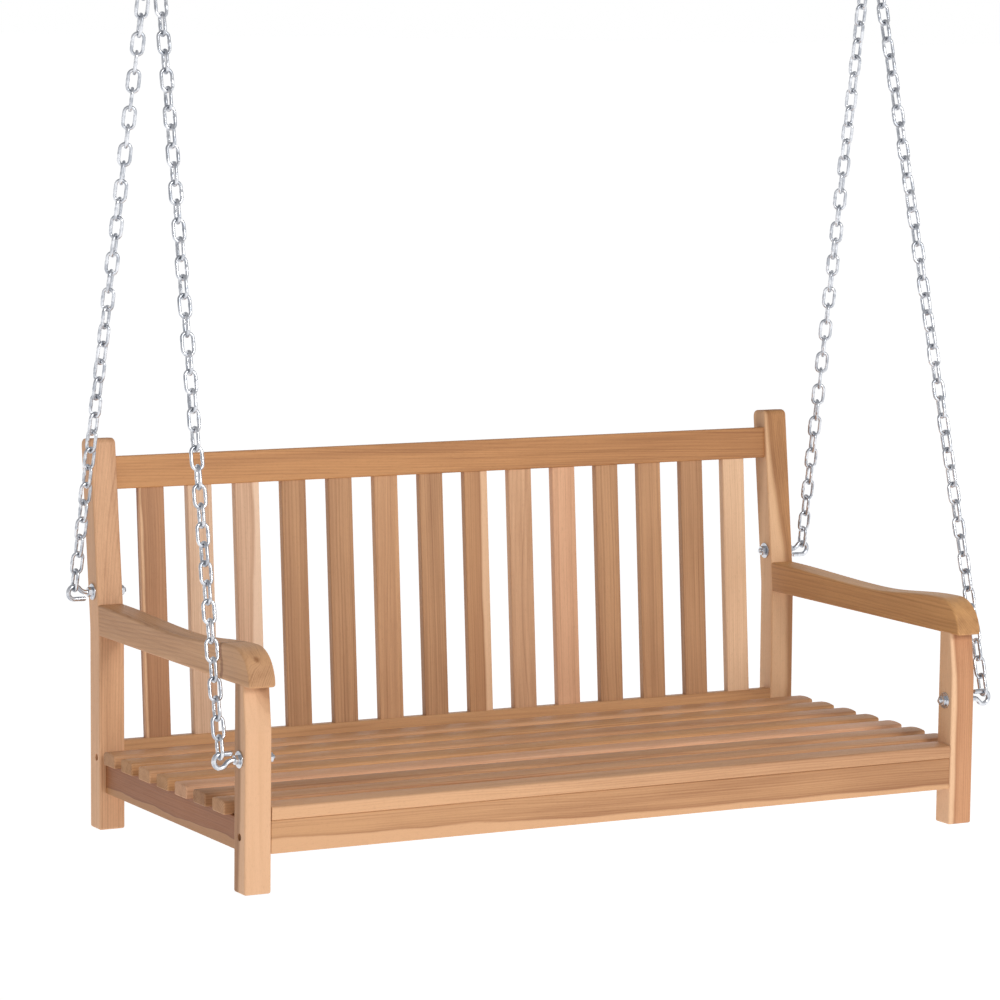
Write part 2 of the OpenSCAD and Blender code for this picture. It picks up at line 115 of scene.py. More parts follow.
BACK_EYE_Z = 350
BACK_EYE = (post_front(BACK_EYE_Z) + POST_D / 2, BACK_EYE_Z)


# ---------------------------------------------------------------- meshes

def new_mesh(name, verts, faces, placed):
    """An object whose own axes are placed's, from points in the row frame's metres."""
    own = placed.inverted()
    mesh = bpy.data.meshes.new(name)
    mesh.from_pydata([own @ Vector(v) for v in verts], [], faces)
    mesh.validate()
    obj = bpy.data.objects.new(name, mesh)
    obj.matrix_world = placed
    bpy.context.scene.collection.objects.link(obj)
    bm = bmesh.new()
    bm.from_mesh(mesh)
    bmesh.ops.recalc_face_normals(bm, faces=bm.faces)
    bm.to_mesh(mesh)
    bm.free()
    return obj


def smooth(obj, angle=33):
    """Smooth shading with edges sharper than angle kept crisp, and flat faces kept flat."""
    obj.data.shade_smooth()
    obj.data.set_sharp_from_angle(angle=math.radians(angle))
    flat = obj.modifiers.new("flat_faces", "WEIGHTED_NORMAL")
    flat.keep_sharp = True
    return obj


def finish_piece(obj, node, material, *more):
    """Gives a piece its material and its body, and lets it stand for CAD nodes."""
    obj.data.materials.append(material)
    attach(obj, BODY[node])
    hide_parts(node, *more)
    return obj


def loft(rings, closed=False):
    """Vertices and faces of a skin over rings of equal length, each ring a closed loop."""
    n, m = len(rings), len(rings[0])
    verts = [tuple(p) for ring in rings for p in ring]
    faces = [(a * m + i, a * m + (i + 1) % m, b * m + (i + 1) % m, b * m + i)
             for a, b in ((k, (k + 1) % n) for k in range(n if closed else n - 1))
             for i in range(m)]
    if not closed:
        faces += [tuple(range(m - 1, -1, -1)), tuple(range((n - 1) * m, n * m))]
    return verts, faces


def join(parts):
    """One vertex and face list from several."""
    verts, faces = [], []
    for v, f in parts:
        faces += [tuple(i + len(verts) for i in face) for face in f]
        verts += v
    return verts, faces


def moved(matrix, part):
    return [tuple(matrix @ Vector(v)) for v in part[0]], part[1]


def rounded(corners, steps=5):
    """A closed outline from (x, y, radius) corners; a corner of radius 0 stays a point."""
    out = []
    for i, (x, y, r) in enumerate(corners):
        here = np.array((x, y), float)
        before = np.array(corners[i - 1][:2], float) - here
        after = np.array(corners[(i + 1) % len(corners)][:2], float) - here
        if r <= 0:
            out.append(here)
            continue
        before, after = before / np.linalg.norm(before), after / np.linalg.norm(after)
        half = math.acos(max(-1, min(1, float(before @ after)))) / 2
        middle = (before + after) / np.linalg.norm(before + after)
        centre = here + middle * r / math.sin(half)
        start = here + before * r / math.tan(half) - centre
        end = here + after * r / math.tan(half) - centre
        sweep = math.pi - 2 * half
        for k in range(steps + 1):
            t = k / steps
            out.append(centre + (start * math.sin((1 - t) * sweep)
                                 + end * math.sin(t * sweep)) / math.sin(sweep))
    return out


def rectangle(x0, x1, y0, y1, r):
    return rounded([(x0, y0, r), (x1, y0, r), (x1, y1, r), (x0, y1, r)])


def inset(outline, by):
    """The outline moved inwards by a distance, along the mitre at each point."""
    pts = np.array(outline)
    edge = np.roll(pts, -1, 0) - pts
    edge /= np.linalg.norm(edge, axis=1)[:, None]
    normal = np.stack([-edge[:, 1], edge[:, 0]], 1)
    both = normal + np.roll(normal, 1, 0)
    share = (both * normal).sum(1)[:, None]
    return pts + both / share * by


def slab(outline, low, high, rim, steps=4):
    """A board: a counter-clockwise outline swept from low to high, with both rims rounded."""
    rings = []
    for sign, end in ((-1, low), (1, high)):
        turns = [k / steps * math.pi / 2 for k in range(steps + 1)]
        for a in (turns[::-1] if sign < 0 else turns):
            flat = inset(outline, rim * (1 - math.cos(a)))
            w = end - sign * rim * (1 - math.sin(a))
            rings.append([(p[0], p[1], w) for p in flat])
    return loft(rings)


ACROSS = Matrix(((0, 0, 1, 0), (1, 0, 0, 0), (0, 1, 0, 0), (0, 0, 0, 1)))
PANEL = Matrix.Translation((0, PANEL_Y, PANEL_Z)) @ Matrix.Rotation(-PANEL_TILT, 4, "X")
GRAIN_UP = Matrix(((0, 1, 0, 0), (0, 0, 1, 0), (1, 0, 0, 0), (0, 0, 0, 1)))
GRAIN_BACK = Matrix(((0, -1, 0, 0), (1, 0, 0, 0), (0, 0, 1, 0), (0, 0, 0, 1)))
GRAIN_ALONG = Matrix.Identity(4)


def board(name, part, place, grain, centre, bores=()):
    """A teak board. part is in place's millimetres, its own X runs along the grain, and
    bores are (point, direction, depth) of round holes, in the bench's frame."""
    placed = BENCH @ Matrix.Translation(centre) @ grain
    placed = placed @ Matrix.Scale(1 / MM, 4)
    verts, faces = moved(BENCH @ place, part)
    obj = new_mesh(name + "_board", verts, faces, placed)
    if bores:
        drill(obj, bores)
    smooth(obj)
    return finish_piece(obj, name, teak(name, LOOKS[name]))


def aimed(point, direction):
    """A frame at a point of the bench, whose +Z runs along a direction."""
    turn = Vector(direction).to_track_quat("Z", "Y").to_matrix().to_4x4()
    return BENCH @ Matrix.Translation(point) @ turn


def drill(obj, bores):
    """Cuts round holes, with a small chamfer at the mouth."""
    parts = []
    for point, direction, depth in bores:
        profile = [(BORE_R + CUTTER_PAST + BORE_CHAMFER, -CUTTER_PAST), (BORE_R + BORE_CHAMFER, 0),
                   (BORE_R, BORE_CHAMFER), (BORE_R, depth)]
        parts.append(moved(aimed(point, direction), lathe(profile, 24)))
    verts, faces = join(parts)
    cutter = new_mesh("cutter", verts, faces, Matrix.Identity(4))
    cut = obj.modifiers.new("bores", "BOOLEAN")
    cut.operation, cut.solver, cut.object = "DIFFERENCE", "EXACT", cutter
    bpy.context.view_layer.update()
    made = bpy.data.meshes.new_from_object(
        obj.evaluated_get(bpy.context.evaluated_depsgraph_get()))
    obj.modifiers.clear()
    obj.data = made
    bpy.data.objects.remove(cutter)


def lathe(profile, segs, closed=False):
    """A profile of (radius, height) points turned about Z."""
    rings = [[(r * math.cos(2 * math.pi * i / segs), r * math.sin(2 * math.pi * i / segs), z)
              for i in range(segs)] for r, z in profile]
    return loft(rings, closed)


def tube(path, radii, segs=14, closed=False):
    """A round wire along a path, its sections turned as little as possible."""
    pts = [Vector(p) for p in path]
    n = len(pts)
    if closed:
        ways = [(pts[(i + 1) % n] - pts[i - 1]).normalized() for i in range(n)]
    else:
        ways = [(pts[min(i + 1, n - 1)] - pts[max(i - 1, 0)]).normalized() for i in range(n)]
    side = ways[0].orthogonal().normalized()
    rings = []
    for i in range(n):
        if i:
            side = (ways[i - 1].rotation_difference(ways[i]).to_matrix() @ side)
        side = (side - ways[i] * side.dot(ways[i])).normalized()
        up = ways[i].cross(side)
        rings.append([tuple(pts[i] + radii[i] * (math.cos(a) * side + math.sin(a) * up))
                      for a in (2 * math.pi * k / segs for k in range(segs))])
    return loft(rings, closed)


def thread(r, pitch, low, high, depth, tip=0, segs=28, per_turn=8):
    """A threaded rod along Z from low to high, with its last tip millimetres tapered."""
    steps = int((high - low) / pitch * per_turn)
    rings = []
    for k in range(steps + 1):
        z = low + (high - low) * k / steps
        left_over = high - z
        if tip:
            full = r * min(1, 0.08 + 0.92 * left_over / tip) if left_over < tip else r
        else:
            full = r - max(0, 1 - left_over)
        ring = []
        for i in range(segs):
            a = 2 * math.pi * i / segs
            wave = abs(((z / pitch - i / segs) % 1) * 2 - 1)
            cut = depth * min(1, 1.25 * wave) * min(1, full / r)
            radius = max(full - cut, 0.15)
            ring.append((radius * math.cos(a), radius * math.sin(a), z))
        rings.append(ring)
    return loft(rings)


def bent_hook(r, end_a):
    """Centreline of a bent wire: its tip, a bowl round the origin, and a reverse bend."""
    bend = math.acos(0.6)
    centre = (-1.5 * r, 2 * r)
    path = []
    start, stop = math.radians(end_a), math.pi - bend - 2 * math.pi
    for k in range(45):
        a = start + (stop - start) * k / 44
        path.append((r * math.cos(a), 0, r * math.sin(a)))
    for k in range(1, 13):
        a = -bend + bend * k / 12
        path.append((centre[0] + 1.5 * r * math.cos(a), 0, centre[1] + 1.5 * r * math.sin(a)))
    return path


def wire_tip(path, r):
    """Radii along a wire whose first end is cut off with a small round edge."""
    radii = [r] * len(path)
    first = Vector(path[0])
    way = (first - Vector(path[1])).normalized()
    extra = []
    for k in range(4):
        share = math.sin(k / 4 * math.pi / 2)
        extra.append((tuple(first - way * (TIP_ROUND * share)), r - TIP_ROUND * (1 - share)))
    return [p for p, _ in extra] + list(path[1:]), [q for _, q in extra] + radii[1:]


def hex_nut(r_bore):
    """A chamfered hexagon nut along Z, from 0 to NUT_H."""
    segs, face_r = 72, NUT_AF / 2 * 0.96
    rings = [[] for _ in range(8)]
    for i in range(segs):
        a = 2 * math.pi * i / segs
        flat = (a + math.pi / 6) % (math.pi / 3) - math.pi / 6
        wall = NUT_AF / 2 / math.cos(flat)
        drop = (wall - face_r) * math.tan(math.radians(30))
        radial = [(r_bore, NUT_CHAMFER), (r_bore + NUT_CHAMFER, 0), (face_r, 0), (wall, drop),
                  (wall, NUT_H - drop), (face_r, NUT_H), (r_bore + NUT_CHAMFER, NUT_H),
                  (r_bore, NUT_H - NUT_CHAMFER)]
        for ring, (r, z) in zip(rings, radial):
            ring.append((r * math.cos(a), r * math.sin(a), z))
    return loft(rings, closed=True)


def washer():
    edge, bore = 0.35, BOLT_D / 2 + 0.3
    return lathe([(bore, edge), (bore + edge, 0), (WASHER_R - edge, 0), (WASHER_R, edge),
                  (WASHER_R, WASHER_T - edge), (WASHER_R - edge, WASHER_T),
                  (bore + edge, WASHER_T), (bore, WASHER_T - edge)], 56, closed=True)


def screw(length):
    """A countersunk screw along +Z with a cross recess in its head, which is at z = 0."""
    head = SCREW_HEAD_R - SCREW_R
    body = [(SCREW_HEAD_R - 0.2, 0), (SCREW_HEAD_R, 0.25), (SCREW_R, head)]
    z = head
    while z < length - 6:
        body += [(SCREW_R - 0.5, z + 0.9), (SCREW_R, z + 1.4), (SCREW_R, z + 1.6)]
        z += 2.4
    body += [(0.3, length)]
    segs = 32
    verts, faces = lathe(body, segs)
    rim = faces.pop(-2)                       # the head's flat face gives way to a cross recess
    cross = []
    for i in range(segs):
        a = 2 * math.pi * i / segs
        arm = max(abs(math.cos(a)), abs(math.sin(a)))
        if arm > 0.965:
            cross.append(2.5)
        else:
            cross.append(0.75 / math.sqrt(1 - arm * arm) if arm > 0.75 else 0.98)
    base = len(verts)
    for depth in (0, 1.5):
        for i in range(segs):
            a = 2 * math.pi * i / segs
            r = cross[i] * (1 if depth == 0 else 0.55)
            verts.append((r * math.cos(a), r * math.sin(a), depth))
    for a, b in ((rim[::-1], range(base, base + segs)),
                 (range(base, base + segs), range(base + segs, base + 2 * segs))):
        a, b = list(a), list(b)
        faces += [(a[i], b[i], b[(i + 1) % segs], a[(i + 1) % segs]) for i in range(segs)]
    faces.append(tuple(range(base + segs, base + 2 * segs)))
    return verts, faces


# ---------------------------------------------------------------- materials

def linear(rgb):
    """A colour as seen on a screen, from 0 to 255, as the renderer's own numbers."""
    out = []
    for c in rgb:
        c = c / 255
        out.append(c / 12.92 if c <= 0.04045 else ((c + 0.055) / 1.055) ** 2.4)
    return (*out, 1)


def put(tree, kind, *values, out=0, **props):
    """Adds a node; each value is a number, a colour, or another node's output."""
    node = tree.nodes.new("ShaderNode" + kind)
    for key, value in props.items():
        setattr(node, key, value)
    for i, value in enumerate(values):
        if value is None:
            continue
        if isinstance(value, bpy.types.NodeSocket):
            tree.links.new(value, node.inputs[i])
        else:
            node.inputs[i].default_value = value
    return node.outputs[out]


def calc(tree, operation, *values, clamp=False):
    return put(tree, "Math", *values, operation=operation, use_clamp=clamp)


def ramp(tree, value, low, high, to_low=0.0, to_high=1.0):
    """A smooth step of value from low to high."""
    return put(tree, "MapRange", value, low, high, to_low, to_high,
               interpolation_type="SMOOTHSTEP")


def noise(tree, vector, scale, detail=2.0, out=0, roughness=0.5):
    """Noise over a vector stretched by three scales."""
    stretched = put(tree, "VectorMath", vector, scale, operation="MULTIPLY")
    return put(tree, "TexNoise", stretched, None, 1.0, detail, roughness, out=out)


def blend_colour(tree, share, a, b):
    node = tree.nodes.new("ShaderNodeMix")
    node.data_type, node.clamp_factor = "RGBA", True
    for socket, value in ((node.inputs[0], share), (node.inputs[6], a), (node.inputs[7], b)):
        if isinstance(value, bpy.types.NodeSocket):
            tree.links.new(value, socket)
        else:
            socket.default_value = value
    return node.outputs[2]


GRAIN_INPUTS = [("Seed", "Float"), ("Pith Y", "Float"), ("Pith Z", "Float"),
                ("Tilt Y", "Float"), ("Tilt Z", "Float"), ("Ring", "Float"),
                ("Figure", "Float"), ("Streak", "Float"), ("Sap Radius", "Float"),
                ("Sap Soft", "Float"), ("Sap Wave", "Float"), ("Knot", "Vector"),
                ("Knot Size", "Float"), ("Fade", "Float"), ("Scar", "Float"),
                ("Light", "Color"), ("Dark", "Color"), ("Sap", "Color")]


def grain_group():
    """The teak itself, in millimetres of a board's own frame, whose X runs along the grain:
    growth rings about a pith, sapwood beyond a radius, streaks, pores and one knot."""
    tree = bpy.data.node_groups.new("teak_grain", "ShaderNodeTree")
    for label, kind in GRAIN_INPUTS:
        tree.interface.new_socket(label, in_out="INPUT", socket_type="NodeSocket" + kind)
    for label, kind in (("Color", "Color"), ("Roughness", "Float"), ("Height", "Float")):
        tree.interface.new_socket(label, in_out="OUTPUT", socket_type="NodeSocket" + kind)
    given = tree.nodes.new("NodeGroupInput").outputs
    spot = tree.nodes.new("ShaderNodeTexCoord")
    place = put(tree, "VectorMath", spot.outputs["Object"], None, None, 1 / MM, operation="SCALE")
    shift = put(tree, "CombineXYZ", *(calc(tree, "MULTIPLY", given["Seed"], s)
                                      for s in (211.0, 37.0, 53.0)))
    own = put(tree, "VectorMath", place, shift, operation="ADD")

    # A knot pushes the rings aside
    off = put(tree, "VectorMath", place, given["Knot"], operation="SUBTRACT")
    off = put(tree, "VectorMath", off, (0.42, 1, 1), operation="MULTIPLY")
    knot_d = calc(tree, "DIVIDE", put(tree, "VectorMath", off, operation="LENGTH", out=1),
                  calc(tree, "ADD", given["Knot Size"], 0.001))
    bulge = calc(tree, "EXPONENT", calc(tree, "MULTIPLY", calc(tree, "POWER", knot_d, 2.0), -0.28))
    core = ramp(tree, knot_d, 1.15, 0.25)

    slow = noise(tree, own, (0.0022, 0.009, 0.009), 1.0, out=1)
    slow = put(tree, "VectorMath", slow, (0.5, 0.5, 0.5), operation="SUBTRACT")
    slow = put(tree, "VectorMath", slow, None, None, 15.0, operation="SCALE")
    fine = noise(tree, own, (0.012, 0.09, 0.09), 2.0, out=1)
    fine = put(tree, "VectorMath", fine, (0.5, 0.5, 0.5), operation="SUBTRACT")
    fine = put(tree, "VectorMath", fine, None, None, 1.6, operation="SCALE")
    bent = put(tree, "VectorMath", put(tree, "VectorMath", place, slow, operation="ADD"), fine,
               operation="ADD")
    sep = tree.nodes.new("ShaderNodeSeparateXYZ")
    tree.links.new(bent, sep.inputs[0])
    legs = []
    for axis, pith, tilt in ((1, "Pith Y", "Tilt Y"), (2, "Pith Z", "Tilt Z")):
        lean = calc(tree, "MULTIPLY", sep.outputs[0], given[tilt])
        leg = calc(tree, "SUBTRACT", calc(tree, "ADD", sep.outputs[axis], lean), given[pith])
        legs.append(calc(tree, "POWER", calc(tree, "ABSOLUTE", leg), 2.0))
    radius = calc(tree, "SQRT", calc(tree, "ADD", *legs))
    radius = calc(tree, "ADD", radius, calc(tree, "MULTIPLY", bulge,
                                            calc(tree, "MULTIPLY", given["Knot Size"], 1.6)))

    # Growth rings: a slow rise to the late wood, then a sudden end
    uneven = put(tree, "TexNoise", None, calc(tree, "MULTIPLY", radius, 0.045), 1.0, 2.0,
                 noise_dimensions="1D")
    turn = calc(tree, "ADD", calc(tree, "DIVIDE", radius, given["Ring"]),
                calc(tree, "MULTIPLY", uneven, 2.4))
    part = calc(tree, "FRACT", turn)
    each = put(tree, "TexWhiteNoise", None, calc(tree, "ADD", calc(tree, "FLOOR", turn),
                                                  given["Seed"]), noise_dimensions="1D")
    late = calc(tree, "MULTIPLY", ramp(tree, part, 0.35, 0.86), ramp(tree, part, 1.0, 0.88))
    late = calc(tree, "MULTIPLY", late, calc(tree, "MULTIPLY_ADD", each, 0.75, 0.25))
    ring_dark = calc(tree, "MULTIPLY", late, given["Figure"])

    # Streaks along the grain, from broad to hair-fine
    broad = ramp(tree, noise(tree, own, (0.0016, 0.07, 0.07), 3.0), 0.4, 0.72)
    band = ramp(tree, noise(tree, own, (0.004, 0.34, 0.34), 3.0, roughness=0.6), 0.36, 0.74)
    hair = ramp(tree, noise(tree, own, (0.02, 1.5, 1.5), 2.0, roughness=0.65), 0.3, 0.75)
    pore = ramp(tree, noise(tree, own, (0.13, 3.6, 3.6), 1.0), 0.62, 0.74)
    slow_tone = noise(tree, own, (0.0045, 0.02, 0.02), 2.0)

    streaks = calc(tree, "ADD", calc(tree, "MULTIPLY", broad, 0.55),
                   calc(tree, "MULTIPLY", band, 0.34))
    streaks = calc(tree, "MULTIPLY", streaks, given["Streak"])
    dark = calc(tree, "ADD", ring_dark, streaks)
    dark = calc(tree, "ADD", dark, calc(tree, "MULTIPLY", hair, 0.14))
    dark = calc(tree, "ADD", dark, calc(tree, "MULTIPLY", core, 0.9))
    along = tree.nodes.new("ShaderNodeSeparateXYZ")
    tree.links.new(place, along.inputs[0])
    dark = calc(tree, "ADD", dark, calc(tree, "MULTIPLY_ADD", slow_tone, 0.5, -0.25))
    dark = calc(tree, "MULTIPLY_ADD", along.outputs[0],
                calc(tree, "MULTIPLY", given["Fade"], MM), dark)

    # A scar is a dark line across the grain
    bend = noise(tree, own, (0.01, 0.05, 0.05), 1.0)
    scar = calc(tree, "ADD", along.outputs[0], calc(tree, "MULTIPLY_ADD", bend, 16.0, -8.0))
    scar = calc(tree, "ABSOLUTE", calc(tree, "SUBTRACT", scar, given["Scar"]))
    dark = calc(tree, "ADD", dark, calc(tree, "MULTIPLY", ramp(tree, scar, 6.5, 2.0), 0.8),
                clamp=True)

    # Sapwood beyond a wavy edge
    wavy = noise(tree, own, (0.006, 0.012, 0.012), 3.0)
    wavy = calc(tree, "MULTIPLY", calc(tree, "SUBTRACT", wavy, 0.5), given["Sap Wave"])
    edge = calc(tree, "SUBTRACT", calc(tree, "ADD", radius, wavy), given["Sap Radius"])
    beyond = calc(tree, "DIVIDE", edge, given["Sap Soft"])
    sap = ramp(tree, beyond, -1.0, 1.0)
    line = calc(tree, "MULTIPLY", ramp(tree, beyond, -2.6, -0.6),
                ramp(tree, beyond, 0.4, -0.6))

    heart = blend_colour(tree, dark, given["Light"], given["Dark"])
    heart = blend_colour(tree, calc(tree, "MULTIPLY", line, 0.4), heart, given["Dark"])
    sap_dark = calc(tree, "MULTIPLY", dark, 0.45)
    pale = blend_colour(tree, sap_dark, given["Sap"], given["Light"])
    colour = blend_colour(tree, sap, heart, pale)
    colour = blend_colour(tree, calc(tree, "MULTIPLY", pore, 0.3), colour,
                          linear((92, 58, 36)))

    # End grain is darker and drinks more light
    ends = tree.nodes.new("ShaderNodeSeparateXYZ")
    tree.links.new(spot.outputs["Normal"], ends.inputs[0])
    end = ramp(tree, calc(tree, "ABSOLUTE", ends.outputs[0]), 0.75, 0.97)
    ringed = calc(tree, "MULTIPLY_ADD", late, 0.22, 0.22)
    colour = blend_colour(tree, calc(tree, "MULTIPLY", end, ringed), colour,
                          linear((112, 74, 46)))

    rough = calc(tree, "ADD", calc(tree, "MULTIPLY_ADD", hair, 0.12, 0.44),
                 calc(tree, "ADD", calc(tree, "MULTIPLY", pore, 0.12),
                      calc(tree, "MULTIPLY", end, 0.2)))
    height = calc(tree, "ADD", calc(tree, "MULTIPLY", hair, -0.5),
                  calc(tree, "ADD", calc(tree, "MULTIPLY", pore, -1.0),
                       calc(tree, "MULTIPLY", late, 0.6)))
    result = tree.nodes.new("NodeGroupOutput")
    for label, value in (("Color", colour), ("Roughness", rough), ("Height", height)):
        tree.links.new(value, result.inputs[label])
    return tree


FAR = 9000                                   # off the board, for what it doesn't have
RING_GAP = 3.2


def teak(name, look):
    """The material of one board, from the tone and the grain in its look."""
    tone = TONES[look["tone"]]
    material = bpy.data.materials.new("teak_" + name)
    material.use_nodes = True
    tree = material.node_tree
    shader = tree.nodes["Principled BSDF"]
    shader.inputs["Specular IOR Level"].default_value = 0.42
    grain = tree.nodes.new("ShaderNodeGroup")
    grain.node_tree = GRAIN
    for key, label in (("light", "Light"), ("dark", "Dark"), ("sap", "Sap")):
        grain.inputs[label].default_value = linear(look.get(key, tone[key]))
    pith, tilt = look["pith"], look.get("tilt", (0.0, 0.0))
    sap = look.get("sapwood", (FAR, 4, 0))
    knot = look.get("knot", (FAR, 0, 0, 1))
    for label, value in (("Seed", look["seed"]), ("Pith Y", pith[0]), ("Pith Z", pith[1]),
                         ("Tilt Y", tilt[0]), ("Tilt Z", tilt[1]), ("Ring", RING_GAP),
                         ("Figure", look.get("figure", 0.32)), ("Streak", look.get("streak", 0.5)),
                         ("Sap Radius", sap[0]), ("Sap Soft", sap[1]), ("Sap Wave", sap[2]),
                         ("Knot", knot[:3]), ("Knot Size", knot[3]),
                         ("Fade", look.get("fade", 0.0)), ("Scar", look.get("scar", FAR))):
        grain.inputs[label].default_value = value
    tree.links.new(grain.outputs["Color"], shader.inputs["Base Color"])
    tree.links.new(grain.outputs["Roughness"], shader.inputs["Roughness"])
    bump = tree.nodes.new("ShaderNodeBump")
    bump.inputs["Strength"].default_value = 0.35
    bump.inputs["Distance"].default_value = 0.00025
    tree.links.new(grain.outputs["Height"], bump.inputs["Height"])
    tree.links.new(bump.outputs[0], shader.inputs["Normal"])
    return material


def metal(name, pale, deep, rough, patch):
    """Plated steel: a mottled bright coat with soft patches, fine scratches and dull spots."""
    material = bpy.data.materials.new(name)
    material.use_nodes = True
    tree = material.node_tree
    shader = tree.nodes["Principled BSDF"]
    shader.inputs["Metallic"].default_value = 1.0
    spot = tree.nodes.new("ShaderNodeTexCoord").outputs["Object"]
    patches = put(tree, "TexNoise", spot, None, patch, 3.0)
    cells = put(tree, "TexVoronoi", spot, None, patch * 2.2, out=1)
    grey = tree.nodes.new("ShaderNodeSeparateColor")
    tree.links.new(cells, grey.inputs[0])
    lines = noise(tree, spot, (400, 2600, 2600), 2.0)
    worn = calc(tree, "ADD", ramp(tree, patches, 0.36, 0.66),
                calc(tree, "MULTIPLY_ADD", grey.outputs[0], 0.5, -0.25), clamp=True)
    colour = blend_colour(tree, worn, linear(pale), linear(deep))
    tree.links.new(colour, shader.inputs["Base Color"])
    dull = calc(tree, "ADD", calc(tree, "MULTIPLY_ADD", worn, 0.14, rough),
                calc(tree, "MULTIPLY", lines, 0.05))
    tree.links.new(dull, shader.inputs["Roughness"])
    bump = tree.nodes.new("ShaderNodeBump")
    bump.inputs["Strength"].default_value = 0.2
    bump.inputs["Distance"].default_value = 0.0001
    tree.links.new(calc(tree, "ADD", patches, calc(tree, "MULTIPLY", lines, 0.25)),
                   bump.inputs["Height"])
    tree.links.new(bump.outputs[0], shader.inputs["Normal"])
    return material


GRAIN = grain_group()
ZINC = metal("zinc_plate", (222, 224, 228), (176, 180, 187), 0.2, 90)
HOOK_STEEL = metal("hook_plate", (208, 211, 216), (168, 172, 178), 0.24, 120)
SCREW_STEEL = metal("screw_plate", (196, 192, 180), (150, 145, 132), 0.3, 300)

# Heartwood, its darker streaks, and sapwood
TONES = {
    "honey": {"light": (206, 157, 114), "dark": (152, 102, 65), "sap": (226, 184, 145)},
    "gold": {"light": (202, 152, 104), "dark": (144, 95, 56), "sap": (224, 180, 138)},
    "brown": {"light": (194, 146, 104), "dark": (136, 90, 56), "sap": (222, 178, 138)},
    "pink": {"light": (218, 178, 145), "dark": (166, 120, 88), "sap": (232, 198, 168)},
    "red": {"light": (168, 112, 73), "dark": (110, 65, 38), "sap": (204, 158, 114)},
    "pale": {"light": (222, 172, 134), "dark": (174, 122, 86), "sap": (234, 194, 158)},
    "light": {"light": (230, 190, 152), "dark": (176, 128, 92), "sap": (238, 206, 174)},
}


def wood(tone, seed, pith, **more):
    """A board's wood. Its pith is (across, deep) millimetres from its middle, and its tilt is
    the slope of that along the grain."""
    return {"tone": tone, "seed": seed, "pith": pith, **more}


LOOKS = {
    "left_front_leg": wood("honey", 11, (24, 70), sapwood=(82, 4, 9), light=(187, 137, 93),
                           dark=(133, 85, 49), sap=(218, 172, 133), streak=0.5, tilt=(0.01, 0)),
    "right_front_leg": wood("honey", 12, (80, 4), sapwood=(95, 3, 8), light=(200, 145, 104),
                            dark=(148, 94, 58), streak=0.45),
    "left_back_post": wood("pale", 13, (46, -60), streak=0.45, light=(219, 170, 129),
                           dark=(164, 114, 77), fade=0.5),
    "right_back_post": wood("gold", 14, (62, 40), sapwood=(80, 5, 10), light=(190, 137, 88),
                            dark=(134, 85, 47)),
    "left_armrest": wood("gold", 15, (-64, -50), tilt=(0, 0.05), figure=0.34,
                         knot=(-252, 2, 16, 6), scar=-170, fade=0.7, light=(200, 152, 109)),
    "right_armrest": wood("gold", 16, (-60, 44), figure=0.3, light=(206, 154, 99),
                          dark=(146, 96, 52)),
    "top_rail": wood("gold", 17, (50, 60), tilt=(0.015, 0.02), fade=0.5, light=(196, 140, 88),
                     dark=(132, 81, 42)),
    "lower_back_rail": wood("gold", 18, (50, 40)),
    "front_apron": wood("honey", 19, (24, 78), tilt=(0, 0.012), fade=0.5, sapwood=(97, 2, 10),
                        sap=(208, 160, 118), light=(194, 145, 101), dark=(136, 86, 50)),
    "left_side_rail": wood("red", 20, (14, 90), sapwood=(102, 0.8, 24), light=(156, 98, 57),
                           sap=(176, 128, 85)),
    "right_side_rail": wood("red", 21, (30, 60)),
    "centre_bearer": wood("brown", 22, (30, 60)),
    "back_slat_1": wood("brown", 31, (60, 40), sapwood=(91, 1.5, 9), light=(186, 135, 95)),
    "back_slat_2": wood("pink", 32, (56, 30), light=(224, 188, 156), dark=(172, 128, 96)),
    "back_slat_3": wood("pink", 33, (-60, 26), sapwood=(74, 3, 12)),
    "back_slat_4": wood("brown", 34, (40, 48)),
    "back_slat_5": wood("brown", 35, (-50, 50), figure=0.4),
    "back_slat_6": wood("honey", 36, (44, 60)),
    "back_slat_7": wood("brown", 37, (66, 34), streak=0.6),
    "back_slat_8": wood("honey", 38, (-60, 30), sapwood=(78, 2, 9), light=(194, 144, 100)),
    "back_slat_9": wood("honey", 39, (30, 70), fade=-0.9, light=(213, 167, 128)),
    "back_slat_10": wood("pale", 40, (-64, 40)),
    "back_slat_11": wood("brown", 41, (48, 44), figure=0.38),
    "back_slat_12": wood("brown", 42, (-40, 62)),
    "back_slat_13": wood("brown", 43, (70, 26), streak=0.6),
    "back_slat_14": wood("light", 44, (-58, 36), figure=0.25),
    "seat_slat_1": wood("honey", 51, (40, -70), streak=0.4, light=(210, 162, 120), fade=0.4),
    "seat_slat_2": wood("honey", 52, (-60, -50)),
    "seat_slat_3": wood("brown", 53, (50, -60), fade=-0.3),
    "seat_slat_4": wood("pale", 54, (64, -44)),
    "seat_slat_5": wood("gold", 55, (-50, -66)),
    "seat_slat_6": wood("honey", 56, (40, -50), fade=0.3),
    "seat_slat_7": wood("gold", 57, (-66, -40)),
    "seat_slat_8": wood("honey", 58, (54, -60)),
}


# ---------------------------------------------------------------- frame of the bench

def leg_bores(side):
    """The access holes of the screws that come through a leg's outer face."""
    return [((side * HALF_W, LEG_D / 2, LEG_SCREW_Z), (-side, 0, 0), LEG_SCREW_BORE)]


def post_bores(side):
    """The same in a post's outer face, and the one behind the arm."""
    back_y = post_front(ARM_SCREW_Z) + POST_D
    return [((side * HALF_W, POST_SCREW_Y, POST_SCREW_Z), (-side, 0, 0), LEG_SCREW_BORE),
            ((side * LEG_X, back_y, ARM_SCREW_Z), (0, -1, 0), ARM_SCREW_BORE)]


